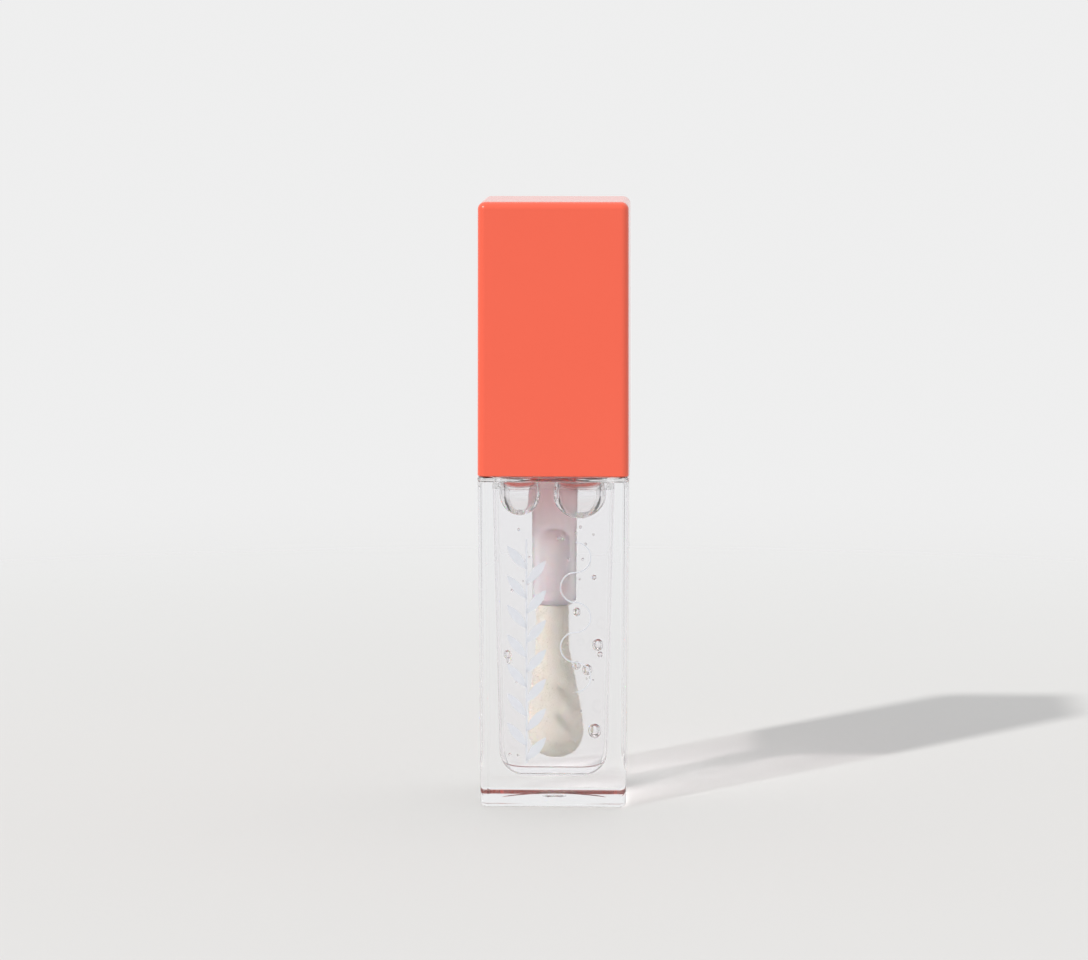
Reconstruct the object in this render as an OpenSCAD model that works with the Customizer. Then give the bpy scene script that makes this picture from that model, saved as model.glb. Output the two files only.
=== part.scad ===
// Square lip gloss tube: thick clear bottle with a threaded neck insert, screw cap and flocked wand.
// The tube stands on z = 0, centred on the z axis. Its printed front faces -Y. All sizes in mm.

/* [Bottle] */
// Width of the square tube at the shoulder and of the cap
tube_w = 20; // [19:0.5:26]
// Height of the clear bottle under the shoulder plate
bottle_h = 43.6; // [38:0.1:60]
// How much each side draws in from shoulder to foot
side_draft = 0.3; // [0:0.05:0.5]
// Radius of the tube's upright edges
edge_r = 1; // [0.6:0.1:1.6]
// Radius of the bottle's foot edge
foot_r = 0.7; // [0.2:0.1:1.2]
// Side wall at the top of the cavity
wall_top = 1.9; // [1.5:0.1:2.2]
// Side wall at the bottom of the cavity
wall_foot = 2.5; // [1.8:0.1:3.5]
// Thickness of the clear floor
floor_t = 3.6; // [2:0.1:4.4]
// Radius of the cavity's upright edges at its mouth
cavity_edge_r = 1.2; // [0.6:0.1:2]
// Radius where the cavity's sides run into its floor
cavity_foot_r = 3.8; // [2:0.1:5]
// Flat rim left around the dished underside
dish_rim = 1.4; // [1:0.1:3]
// Depth of the dished underside
dish_depth = 0.5; // [0.2:0.05:1]
// Radius of the moulding gate's mark in the dish
gate_r = 1.6; // [0.8:0.1:2.4]
// Height of the gate's mark
gate_h = 0.2; // [0.1:0.05:0.4]

/* [Neck insert] */
// Thickness of the square shoulder plate
plate_t = 0.6; // [0.4:0.05:1.2]
// Depth of the skirt that plugs the cavity's mouth
plug_depth = 1.1; // [0.6:0.1:3]
// Wall of that skirt
plug_wall = 1; // [0.6:0.1:1.2]
// Gap between the skirt and the cavity
plug_gap = 0.05; // [0.02:0.01:0.1]
// Height of the neck above the shoulder plate
neck_h = 11.5; // [11:0.1:15]
// Outside diameter of the neck, without its thread
neck_d = 12.6; // [11.8:0.1:12.8]
// Bore of the neck
neck_bore = 9.4; // [8.8:0.1:10]

/* [Thread] */
// Rise of the thread in one turn
thread_pitch = 3; // [2.6:0.1:3.4]
// Turns of thread on the neck, and turns that the cap takes to come free
thread_turns = 1.5; // [1:0.25:1.75]
// Height of each ridge
thread_depth = 0.7; // [0.4:0.05:0.8]
// Width of a ridge at its root
thread_root = 1.4; // [1:0.05:1.5]
// Width of a ridge at its crest
thread_crest = 0.7; // [0.4:0.05:0.8]
// Running gap between the crests of one thread and the wall of the other
thread_gap = 0.15; // [0.08:0.01:0.3]
// Height of the neck thread's start above the shoulder
thread_start = 3.2; // [2.8:0.1:4]

/* [Wiper] */
// Wall of the wiper's sleeve
wiper_wall = 0.6; // [0.4:0.05:0.8]
// Length of the sleeve in the neck
wiper_len = 8.5; // [6:0.1:10]
// Thickness of the flange on the neck's rim
wiper_flange_t = 0.7; // [0.4:0.05:1]
// Thickness of the lip that wipes the stem
lip_t = 0.4; // [0.25:0.05:0.6]
// Height of the cone that leads to the lip
lip_h = 2; // [1.2:0.1:3]

/* [Wand] */
// Diameter of the stem in the neck
stem_d = 6.1; // [5:0.1:7.2]
// Diameter of the stem at its lower end
stem_tip_d = 5.8; // [4.8:0.1:6.4]
// Length of the stem below the bottle's mouth
stem_drop = 17.1; // [14:0.1:24]
// Bore that holds the applicator's shank
socket_d = 3.6; // [3:0.1:4]
// Depth of that bore, without its domed end
socket_depth = 8.4; // [6:0.1:12]
// Thickness of the flange on the stem's head
head_t = 1.2; // [0.8:0.1:2]
// How far that flange stands out from the stem
head_lip = 1.15; // [0.6:0.05:1.4]
// Bore of the hollow upper stem
stem_bore = 3; // [2:0.1:3.4]
// Gap between parts of the wand that are pressed together
press_gap = 0.03; // [0.02:0.01:0.05]

/* [Applicator] */
// Length of the flocked head below the stem
head_len = 21; // [17:0.1:21.4]
// Width of the head's bulb
bulb_w = 7.4; // [6:0.1:7.6]
// Depth of the head's bulb, front to back
bulb_d = 6.2; // [5:0.1:7.4]
// How far the bulb leans to the right of the stem
bulb_x = 0.2; // [0:0.05:0.4]
// Height of the bulb's middle above its tip
bulb_rise = 3.9; // [3.4:0.1:4.6]
// Diameter of the head's neck
head_neck_d = 4.3; // [3.6:0.1:4.8]
// Length of the straight neck under the stem
head_neck_len = 6.4; // [3:0.1:8]
// How far the head's neck leans to the left of the stem
head_neck_x = 0.3; // [0:0.05:0.4]
// Thickness of the flock
flock_t = 0.45; // [0.3:0.05:0.6]
// Number of ribs that grip the stem
shank_ribs = 3; // [1:1:4]

/* [Cap] */
// Height of the cap
cap_h = 36.2; // [32:0.1:50]
// Side wall of the cap
cap_wall = 1.3; // [1:0.05:1.3]
// Thickness of the cap's top
cap_top_t = 1.6; // [1:0.1:3]
// Gap between the closed cap and the shoulder
cap_gap = 0.1; // [0.05:0.05:0.4]
// Radius of the cap's top edges
crown_r = 1; // [0.4:0.1:1.6]
// Outside diameter of the post that holds the stem's head down
post_d = 7.4; // [6:0.1:8]
// Wall of that post
post_wall = 1.3; // [0.8:0.1:1.8]

/* [Inner cap] */
// Wall of the threaded skirt
skirt_wall = 1; // [0.8:0.05:1.1]
// Thickness of the square locating plates
locator_t = 1.2; // [0.8:0.1:1.6]
// Gap between the locating plates and the cap
locator_gap = 0.05; // [0.03:0.01:0.1]
// How far the inner cap sits up inside the cap's mouth
inner_cap_inset = 0.3; // [0.1:0.1:0.8]
// Thickness of the inner cap's top
roof_t = 1.4; // [1:0.1:2]
// Height of the boss around the stem's head
boss_h = 4.5; // [2:0.1:6]
// Wall of that boss
boss_wall = 1.4; // [1:0.1:2]
// Thickness of the seal ring
seal_t = 0.8; // [0.5:0.05:1.2]

/* [Gloss] */
// Half width of the left air pocket
left_pocket_r = 2.75; // [1.5:0.05:3]
// Height of the left air pocket
left_pocket_h = 4.7; // [3.5:0.1:8]
// Half width of the right air pocket
right_pocket_r = 3.5; // [1.5:0.05:3.6]
// Height of the right air pocket
right_pocket_h = 5.1; // [4:0.1:8]

/* [Print] */
// Thickness of the printed ink
ink_t = 0.03; // [0.02:0.005:0.04]
// Height of the printed sprig
sprig_h = 30; // [20:0.5:32]
// Width of the printed sprig
sprig_w = 5.6; // [4:0.1:7]
// Distance of the sprig's stalk left of the middle
sprig_x = 3.5; // [2:0.1:5]
// Number of leaves on each side of the stalk
leaf_pairs = 7; // [4:1:9]
// Height of the printed tendril
tendril_h = 20; // [10:0.5:26]
// Distance of the tendril right of the middle
tendril_x = 3; // [1:0.1:5]
// Number of curls in the tendril
curls = 5; // [3:1:8]
// Width of the tendril's line
stroke = 0.2; // [0.1:0.05:0.4]

/* [Hidden] */
$fn = 64;
slip = 0.02;          // gap that keeps touching pieces apart
over = 1;             // how far a cutter runs past the face it cuts
hull_fn = 24;         // steps of a round inside a hull
pocket_side = 1;      // gloss left between an air pocket and the wall beside it
pocket_front = 0.35;  // gloss left between an air pocket and the front wall
print_drop = 0.8;     // how far the print's middle is below the bottle's
stalk_w = 0.3;        // width of the sprig's stalk

foot_w = tube_w - 2 * side_draft;
foot_edge = min(foot_r, edge_r - 0.05);
cavity_w = tube_w - 2 * wall_top;
cavity_foot_w = foot_w - 2 * wall_foot;
dish_r = foot_w / 2 - foot_edge - dish_rim;
dish_ball_r = (dish_r * dish_r + dish_depth * dish_depth) / (2 * dish_depth);

shoulder_z = bottle_h + plate_t;
rim_z = shoulder_z + neck_h;
plug_w = cavity_w - 2 * plug_gap;
plug_hole_w = plug_w - 2 * plug_wall;

seal_z = rim_z + wiper_flange_t + slip;
roof_z = seal_z + seal_t + slip;
cap_z = shoulder_z + cap_gap;
cap_bore_w = tube_w - 2 * cap_wall;
locator_w = cap_bore_w - 2 * locator_gap;
inner_z = cap_z + inner_cap_inset;

neck_r = neck_d / 2;
crest_r = neck_r + thread_depth;
nut_r = crest_r + thread_gap;
nut_crest_r = neck_r + thread_gap;
thread_z = shoulder_z + thread_start;
thread_lead = 20;     // degrees that the cap's ridge starts after the neck's

stem_r = stem_d / 2;
stem_tip_r = stem_tip_d / 2;
stem_tip_z = bottle_h - stem_drop;
head_r = stem_r + head_lip;
head_z = roof_z + roof_t + slip;
boss_r = head_r + press_gap;
post_r = min(post_d / 2, boss_r - 0.2);
socket_r = socket_d / 2;

tip_z = stem_tip_z - head_len;
bulb_z = tip_z + bulb_rise;
flock_top_z = stem_tip_z - 0.1;

front_tilt = atan(side_draft / bottle_h);

module at_corners(spread) {
    for (sx = [-1, 1], sy = [-1, 1]) translate([sx * spread, sy * spread, 0]) children();
}

// Square outline with round corners.
module rounded_square(w, r) {
    square([w - 2 * r, w], center = true);
    square([w, w - 2 * r], center = true);
    at_corners(w / 2 - r) circle(r);
}

// Outline of a block that is rounded along its two top edges only.
module arch(w, h, r) {
    translate([-w / 2, 0]) square([w, h - r]);
    translate([-w / 2 + r, 0]) square([w - 2 * r, h]);
    for (side = [-1, 1]) translate([side * (w / 2 - r), h - r]) circle(r);
}

// A ridge that winds up a cylinder, anticlockwise from above. It stands out where crest > root.
module helix_ridge(root, crest, z, turns, lead) {
    steps = 36;
    fade = 5;
    last = round(steps * turns);
    outward = crest > root;
    rings = [for (i = [0:last])
        let (grown = max(0.08, min(1, i / fade, (last - i) / fade)),
             r = root + (crest - root) * grown,
             half = (thread_crest + (thread_root - thread_crest) * (1 - grown)) / 2,
             turn = lead + 360 * i / steps,
             mid = z + thread_pitch * (lead / 360 + i / steps))
        [[root, mid - thread_root / 2, turn], [r, mid - half, turn],
         [r, mid + half, turn], [root, mid + thread_root / 2, turn]]];
    points = [for (ring = rings) for (p = ring) [p[0] * cos(p[2]), p[0] * sin(p[2]), p[1]]];
    sides = [for (i = [0:last - 1], k = [0:3])
        let (a = 4 * i + k, b = 4 * i + (k + 1) % 4, c = b + 4, d = a + 4)
        each [[a, b, c], [a, c, d]]];
    e = 4 * last;
    ends = [[2, 1, 0], [3, 2, 0], [e, e + 1, e + 2], [e, e + 2, e + 3]];
    faces = concat(sides, ends);
    polyhedron(points, outward ? faces : [for (f = faces) [f[2], f[1], f[0]]]);
}

// The inside of the bottle: drafted sides that round into the floor. shrink pulls every wall in.
module cavity(shrink) {
    ball = cavity_foot_r - shrink;
    edge = cavity_edge_r - shrink;
    hull() {
        at_corners(cavity_foot_w / 2 - cavity_foot_r)
            translate([0, 0, floor_t + cavity_foot_r]) sphere(ball, $fn = hull_fn);
        at_corners(cavity_w / 2 - cavity_edge_r)
            translate([0, 0, bottle_h]) cylinder(r = edge, h = over, $fn = hull_fn);
    }
}

// Thick clear square cup with a dished underside and the gate's mark in the dish.
module bottle_body() {
    color([0.86, 0.88, 0.91, 0.35]) {
        difference() {
            hull() {
                at_corners(foot_w / 2 - edge_r) for (a = [0:15:90])
                    translate([0, 0, foot_edge * (1 - cos(a))])
                        cylinder(r = edge_r - foot_edge * (1 - sin(a)), h = slip, $fn = hull_fn);
                at_corners(tube_w / 2 - edge_r)
                    translate([0, 0, bottle_h - slip]) cylinder(r = edge_r, h = slip, $fn = hull_fn);
            }
            cavity(0);
            translate([0, 0, dish_depth - dish_ball_r]) sphere(dish_ball_r);
        }
        translate([0, 0, dish_depth - gate_h]) cylinder(r = gate_r, h = gate_h + 0.3);
    }
}

// Square shoulder plate, a skirt that plugs the bottle's mouth, and the threaded neck.
module neck_insert() {
    color([0.90, 0.92, 0.94, 0.35]) difference() {
        union() {
            translate([0, 0, bottle_h + slip]) linear_extrude(plate_t - slip)
                rounded_square(tube_w, edge_r);
            translate([0, 0, bottle_h - plug_depth]) linear_extrude(plug_depth + plate_t / 2)
                difference() {
                    rounded_square(plug_w, cavity_edge_r);
                    rounded_square(plug_hole_w, cavity_edge_r - plug_wall / 2);
                }
            translate([0, 0, bottle_h + slip]) cylinder(r = neck_r, h = plate_t + neck_h - slip);
            helix_ridge(neck_r - 0.2, crest_r, thread_z, thread_turns, 0);
        }
        translate([0, 0, bottle_h - over]) cylinder(d = neck_bore, h = neck_h + 3 * over);
    }
}

// Soft sleeve with a flange on the neck's rim and a cone whose lip wipes the stem.
module wiper() {
    outer = neck_bore / 2 - slip;
    inner = outer - wiper_wall;
    lip = stem_r + slip;
    foot_z = rim_z - wiper_len;
    color([0.93, 0.92, 0.90]) rotate_extrude() polygon([
        [outer, foot_z], [outer, rim_z + slip], [neck_r - 0.4, rim_z + slip],
        [neck_r - 0.4, rim_z + wiper_flange_t], [inner, rim_z + wiper_flange_t],
        [inner, foot_z + lip_h + lip_t], [lip, foot_z + lip_t], [lip, foot_z]]);
}

// A pocket of air under the shoulder plate: a round bag with a flat top.
module air_pocket(side, r, h) {
    x = side * (cavity_w / 2 - r - pocket_side);
    y = -(cavity_w / 2 - r - pocket_front);
    hull() {
        translate([x, y, bottle_h - h + r]) sphere(r, $fn = hull_fn);
        translate([x, y, bottle_h]) cylinder(r = r - 0.2, h = over, $fn = hull_fn);
    }
}

// The gloss that fills the bottle around the wand.
module gloss() {
    color([0.80, 0.79, 0.84, 0.6]) difference() {
        cavity(slip);
        translate([0, 0, bottle_h - slip / 2]) cylinder(d = 3 * tube_w, h = 2 * over);
        translate([0, 0, bottle_h - plug_depth - slip]) linear_extrude(plug_depth + over)
            difference() {
                square(tube_w, center = true);
                rounded_square(plug_hole_w - 2 * slip, cavity_edge_r - plug_wall / 2);
            }
        translate([0, 0, stem_tip_z - slip])
            cylinder(r1 = stem_tip_r + slip, r2 = stem_r + slip, h = stem_drop + slip);
        applicator_head(-slip);
        air_pocket(-1, left_pocket_r, left_pocket_h);
        air_pocket(1, right_pocket_r, right_pocket_h);
    }
}

// A pointed leaf that leans up from its root at the origin.
module leaf(length, width) {
    r = (length * length + width * width) / (4 * width);
    rotate(50) intersection() {
        translate([length / 2, r - width / 2]) circle(r);
        translate([length / 2, width / 2 - r]) circle(r);
    }
}

// Half of a thin ring that curls to the given side.
module curl(side, r) {
    intersection() {
        difference() {
            circle(r);
            circle(r - stroke);
        }
        translate([side > 0 ? -0.03 : -r, -r]) square([r + 0.03, 2 * r]);
    }
}

// Printed sprig and, beside it, a fine wavy tendril, on the drafted front face.
module front_print() {
    foot_z = (bottle_h - sprig_h) / 2 - print_drop;
    step = sprig_h / (leaf_pairs + 0.6);
    leaf_l = sprig_w * 0.72;
    leaf_w = leaf_l / 3;
    curl_r = tendril_h / (2 * curls);
    color([0.87, 0.88, 0.91])
        translate([0, -foot_w / 2, 0]) rotate([90 + front_tilt, 0, 0]) linear_extrude(ink_t) {
            translate([-sprig_x - stalk_w / 2, foot_z]) square([stalk_w, sprig_h]);
            for (i = [0:leaf_pairs - 1]) {
                translate([-sprig_x, foot_z + step * (i + 0.1)]) leaf(leaf_l, leaf_w);
                translate([-sprig_x, foot_z + step * (i + 0.6)]) mirror([1, 0]) leaf(leaf_l, leaf_w);
            }
            for (i = [0:curls - 1])
                translate([tendril_x, foot_z + sprig_h - (2 * curl_r - stroke) * (i + 0.6)])
                    curl(i % 2 == 0 ? 1 : -1, curl_r);
        }
}

// Flat ring that seals the cap on the wiper's flange.
module seal_ring() {
    color([0.90, 0.90, 0.88]) translate([0, 0, seal_z]) difference() {
        cylinder(r = neck_r - 0.5, h = seal_t);
        translate([0, 0, -over]) cylinder(r = stem_r + 0.05, h = seal_t + 2 * over);
    }
}

// Translucent stem: a flanged head, a hollow top, a drafted lower end and a blind socket.
module wand_stem() {
    color([0.86, 0.70, 0.72]) difference() {
        union() {
            translate([0, 0, stem_tip_z]) cylinder(r1 = stem_tip_r, r2 = stem_r, h = stem_drop);
            translate([0, 0, bottle_h]) cylinder(r = stem_r, h = head_z - bottle_h);
            translate([0, 0, head_z]) cylinder(r = head_r, h = head_t);
        }
        translate([0, 0, bottle_h + 2]) cylinder(d = stem_bore, h = head_z + head_t - bottle_h);
        translate([0, 0, stem_tip_z - over]) cylinder(r = socket_r, h = socket_depth + over);
        translate([0, 0, stem_tip_z + socket_depth]) sphere(socket_r);
    }
}

// Square cap with rounded edges, and a post inside that holds the stem's head down.
module cap_shell() {
    color([0.98, 0.43, 0.34]) {
        difference() {
            intersection() {
                translate([0, 0, cap_z]) linear_extrude(cap_h) rounded_square(tube_w, edge_r);
                for (turn = [0, 90]) rotate([0, 0, turn]) translate([0, 0, cap_z])
                    rotate([90, 0, 0]) linear_extrude(tube_w + over, center = true)
                        arch(tube_w, cap_h, crown_r);
            }
            translate([0, 0, cap_z - over]) linear_extrude(cap_h - cap_top_t + over)
                rounded_square(cap_bore_w, max(0.3, edge_r - cap_wall / 2));
        }
        post_z = head_z + head_t + slip;
        difference() {
            translate([0, 0, post_z]) cylinder(r = post_r, h = cap_z + cap_h - cap_top_t - post_z + 0.2);
            translate([0, 0, post_z - over])
                cylinder(r = post_r - post_wall, h = cap_z + cap_h - cap_top_t - post_z + over);
        }
    }
}

// Inner cap: a threaded skirt between two square plates that lock it in the cap, and a boss.
module inner_cap() {
    color([0.96, 0.45, 0.38]) difference() {
        union() {
            translate([0, 0, inner_z]) linear_extrude(locator_t) rounded_square(locator_w, 0.6);
            translate([0, 0, inner_z]) cylinder(r = nut_r + skirt_wall, h = roof_z + roof_t - inner_z);
            translate([0, 0, roof_z + roof_t - locator_t]) linear_extrude(locator_t)
                rounded_square(locator_w, 0.6);
            translate([0, 0, roof_z]) cylinder(r = boss_r + boss_wall, h = roof_t + boss_h);
        }
        difference() {
            translate([0, 0, inner_z - over]) cylinder(r = nut_r, h = roof_z - inner_z + over);
            helix_ridge(nut_r + 0.2, nut_crest_r, thread_z - thread_pitch / 2, 1, thread_lead);
        }
        translate([0, 0, roof_z - over]) cylinder(r = stem_r + press_gap, h = roof_t + 2 * over);
        translate([0, 0, roof_z + roof_t]) cylinder(r = boss_r, h = boss_h + over);
    }
}

// Outer shape of the flocked head: a straight neck that swells into a leaning, flattened bulb.
module applicator_head(inset) {
    neck = head_neck_d / 2 - inset;
    bulb = bulb_w / 2 - inset;
    flat = (bulb_d / 2 - inset) / bulb;
    rise = (bulb_rise - inset) / bulb;
    top = inset < 0 ? stem_tip_z : flock_top_z - inset;
    neck_z = stem_tip_z - head_neck_len;
    translate([-head_neck_x, 0, neck_z]) cylinder(r = neck, h = top - neck_z);
    hull() {
        translate([-head_neck_x, 0, neck_z]) cylinder(r = neck, h = 0.1, $fn = 32);
        translate([bulb_x, 0, bulb_z]) scale([1, flat, rise]) sphere(bulb, $fn = 32);
    }
}

// Moulded core of the applicator: the head under the flock and the ribbed shank in the stem.
module applicator_core() {
    rib = 0.5;
    shank_r = socket_r - 0.4;
    gap = (socket_depth - 2) / shank_ribs;
    color([0.90, 0.84, 0.80]) {
        applicator_head(flock_t + slip);
        translate([0, 0, flock_top_z - 1]) cylinder(r = shank_r, h = socket_depth + 1);
        translate([0, 0, flock_top_z + socket_depth]) sphere(shank_r);
        for (i = [0:shank_ribs - 1]) translate([0, 0, stem_tip_z + 1 + gap * (i + 0.5)])
            cylinder(r1 = shank_r, r2 = socket_r - press_gap, h = rib);
    }
}

// Layer of nylon flock on the head.
module flock_coat() {
    color([0.86, 0.80, 0.75]) difference() {
        applicator_head(0);
        applicator_head(flock_t);
        translate([-head_neck_x, 0, flock_top_z - 1]) cylinder(r = socket_r, h = 1 + over);
    }
}

bottle_body();
neck_insert();
wiper();
gloss();
front_print();
seal_ring();
wand_stem();
cap_shell();
inner_cap();
applicator_core();
flock_coat();
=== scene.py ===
"""A square lip gloss tube: clear bottle full of gloss, coral screw cap and a flocked wand.

Sizes are in metres. Heights and widths come from the CAD nodes' boxes, and small radii are named here.
"""

import math
import random

import bmesh
import bpy
from mathutils import Matrix, Vector


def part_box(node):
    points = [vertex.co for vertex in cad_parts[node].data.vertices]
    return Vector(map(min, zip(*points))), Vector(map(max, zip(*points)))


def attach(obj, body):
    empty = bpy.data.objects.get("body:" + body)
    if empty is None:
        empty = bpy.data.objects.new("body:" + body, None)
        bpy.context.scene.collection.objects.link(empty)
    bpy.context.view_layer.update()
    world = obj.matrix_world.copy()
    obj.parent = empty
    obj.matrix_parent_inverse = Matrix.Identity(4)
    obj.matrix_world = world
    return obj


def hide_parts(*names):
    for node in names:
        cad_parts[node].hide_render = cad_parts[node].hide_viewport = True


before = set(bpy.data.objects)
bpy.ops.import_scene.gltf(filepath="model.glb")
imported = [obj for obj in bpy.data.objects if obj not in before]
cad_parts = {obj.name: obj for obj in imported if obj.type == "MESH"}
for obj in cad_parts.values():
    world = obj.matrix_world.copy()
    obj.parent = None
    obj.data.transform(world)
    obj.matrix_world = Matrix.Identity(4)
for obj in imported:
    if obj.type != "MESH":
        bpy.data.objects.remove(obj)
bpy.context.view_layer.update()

MM = 0.001
CORNER_STEPS = 11                      # faces round one corner of a square outline
ROUND_STEPS = 4 * (CORNER_STEPS + 1)   # a round outline has as many points as a square one

# ---------------------------------------------------------------- sizes from the frame

bottle_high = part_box("bottle_body")[1]
neck_low, neck_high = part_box("neck_insert")
wiper_low, wiper_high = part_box("wiper")
gloss_low, gloss_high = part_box("gloss")
seal_low, seal_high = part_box("seal_ring")
stem_low, stem_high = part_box("wand_stem")
cap_low, cap_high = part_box("cap_shell")
inner_low, inner_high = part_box("inner_cap")
core_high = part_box("applicator_core")[1]
flock_low, flock_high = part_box("flock_coat")

tube_half = bottle_high.x              # half the width of the bottle's shoulder and of the cap
foot_half = tube_half - 0.3 * MM       # the sides draw in towards the foot
mouth_z = bottle_high.z                # top of the bottle, under the shoulder plate
shoulder_z = mouth_z + 0.6 * MM
rim_z = neck_high.z
floor_z = gloss_low.z                  # top of the clear floor
cavity_half = gloss_high.x             # half width of the cavity at its mouth
cavity_foot_half = 7.2 * MM
cavity_foot_r = 3.8 * MM
edge_r = 1.0 * MM                      # upright edges of bottle and cap
foot_r = 0.7 * MM
dish_r = 7.6 * MM
dish_depth = 0.5 * MM
plug_z = neck_low.z                    # lower end of the skirt that plugs the bottle
plug_half = 8.05 * MM
plug_hole_half = 7.05 * MM
gate_r = 1.6 * MM                      # the sunk gate mark under the bottle
neck_r = 6.3 * MM
neck_bore_r = 4.7 * MM
ridge = 0.7 * MM                       # height of both thread ridges
thread_z = shoulder_z + 3.2 * MM       # where the neck's ridge starts
slip = 0.02 * MM                       # gap that keeps fitted pieces apart
pitch = 3.0 * MM
stem_r = 3.05 * MM
stem_tip_r = 2.9 * MM
socket_r = 1.8 * MM
socket_top = stem_low.z + 8.4 * MM + socket_r
nut_r = 7.15 * MM
bulb_rise = 3.9 * MM                   # the flocked head's widest point, above its tip
head_neck_drop = 5.5 * MM              # where its neck starts to swell, below its top
head_neck_r = 2.28 * MM
bulb_half = 3.78 * MM
bulb_half_depth = 3.10 * MM

# ---------------------------------------------------------------- making shapes


def square_loop(bm, half, corner, z):
    """A square outline with round corners. Returns its edges."""
    before = set(bm.edges)
    place = Matrix.Translation((0, 0, z))
    plate = bmesh.ops.create_grid(bm, x_segments=1, y_segments=1, size=half, matrix=place)
    bmesh.ops.bevel(bm, geom=plate["verts"], offset=corner, segments=CORNER_STEPS,
                    profile=0.5, affect="VERTICES", material=-1)
    made = [e for e in bm.edges if e not in before]
    bmesh.ops.delete(bm, geom=list(made[0].link_faces), context="FACES_ONLY")
    return made


def round_loop(bm, radius, z):
    """A round outline whose points face those of a square one. Returns its edges."""
    before = set(bm.edges)
    place = Matrix.Translation((0, 0, z)) @ Matrix.Rotation(math.pi / ROUND_STEPS, 4, "Z")
    bmesh.ops.create_circle(bm, segments=ROUND_STEPS, radius=radius, matrix=place)
    return [e for e in bm.edges if e not in before]


def skin(bm, sections, ring=False, close_first=False, close_last=False):
    """Bridges a row of outlines into one skin. A section is (half, corner, z) or (radius, z).

    The outlines stand well apart while they are bridged, and then drop to their heights.
    """
    loops = []
    for place, section in enumerate(sections):
        loop = square_loop if len(section) == 3 else round_loop
        loops.append(loop(bm, *section[:-1], place * 0.1))
    following = loops[1:] + loops[:1] if ring else loops[1:]
    for lower, upper in zip(loops, following):
        bmesh.ops.bridge_loops(bm, edges=lower + upper)
    if close_first:
        bmesh.ops.edgeloop_fill(bm, edges=loops[0])
    if close_last:
        bmesh.ops.edgeloop_fill(bm, edges=loops[-1])
    for loop, section in zip(loops, sections):
        for point in {v for e in loop for v in e.verts}:
            point.co.z = section[-1]


def arc(centre_half, centre_z, radius, start, end, steps):
    """(half, z) points of an arc in the plane of a wall, angles in degrees from level outwards."""
    turns = [math.radians(start + (end - start) * i / steps) for i in range(steps + 1)]
    return [(centre_half + radius * math.cos(t), centre_z + radius * math.sin(t)) for t in turns]


def lathe(bm, profile, steps=64):
    """Spins a profile of (radius, height) points about the tube's axis."""
    points = [bm.verts.new((r, 0, z)) for r, z in profile]
    lines = [bm.edges.new(pair) for pair in zip(points, points[1:])]
    bmesh.ops.spin(bm, geom=points + lines, cent=(0, 0, 0), axis=(0, 0, 1), dvec=(0, 0, 0),
                   angle=2 * math.pi, steps=steps, use_merge=True, use_duplicate=False)


def thread(bm, root, crest, start_z, turns, lead):
    """A ridge that winds up the tube's axis and fades out at both ends."""
    steps_a_turn = 60
    steps = round(turns * steps_a_turn)
    base, top = 0.7 * MM, 0.32 * MM
    outline = [(root, -base), (crest, -top), (crest, top), (root, base)]
    before = set(bm.verts)
    points = [bm.verts.new((r, 0, start_z + z)) for r, z in outline]
    lines = [bm.edges.new((points[i], points[(i + 1) % 4])) for i in range(4)]
    bmesh.ops.spin(bm, geom=points + lines, cent=(0, 0, 0), axis=(0, 0, 1),
                   dvec=(0, 0, pitch / steps_a_turn), angle=2 * math.pi * turns, steps=steps,
                   use_merge=False, use_duplicate=False)
    made = [v for v in bm.verts if v not in before]
    fade = 30.0 / 360.0
    for v in made:
        share = math.atan2(v.co.y, v.co.x) / (2 * math.pi)
        along = share + round((v.co.z - start_z) / pitch - share)
        grown = max(0.05, min(1.0, along / fade, (turns - along) / fade))
        radius = math.hypot(v.co.x, v.co.y)
        wanted = root + (radius - root) * grown
        v.co.x *= wanted / radius
        v.co.y *= wanted / radius
    bmesh.ops.rotate(bm, verts=made, cent=(0, 0, 0), matrix=Matrix.Rotation(lead, 3, "Z"))
    bmesh.ops.translate(bm, verts=made, vec=(0, 0, pitch * lead / (2 * math.pi)))
    ends = [e for e in bm.edges if e.is_boundary and e.verts[0] in set(made)]
    bmesh.ops.holes_fill(bm, edges=ends, sides=8)


def finish_piece(name, bm, materials, body, stands_for, pick=None, voids=None, crease=35.0):
    """Closes a piece: merged, facing outwards, smooth with crisp edges, and riding on its body.

    pick gives a face's material number. voids adds hollows, which face inwards.
    """
    bmesh.ops.remove_doubles(bm, verts=bm.verts, dist=1e-7)
    bmesh.ops.recalc_face_normals(bm, faces=bm.faces)
    if pick:
        for face in bm.faces:
            face.material_index = pick(face)
    if voids:
        voids(bm)
    for face in bm.faces:
        face.smooth = True
    for edge in bm.edges:
        if edge.is_manifold and edge.calc_face_angle() > math.radians(crease):
            edge.smooth = False
    mesh = bpy.data.meshes.new(name)
    bm.to_mesh(mesh)
    bm.free()
    piece = bpy.data.objects.new(name, mesh)
    bpy.context.scene.collection.objects.link(piece)
    for material in materials:
        mesh.materials.append(material)
    weighted = piece.modifiers.new("flat faces shade flat", "WEIGHTED_NORMAL")
    weighted.keep_sharp = True
    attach(piece, body)
    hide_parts(*stands_for)
    return piece


# ---------------------------------------------------------------- shader groups


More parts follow.
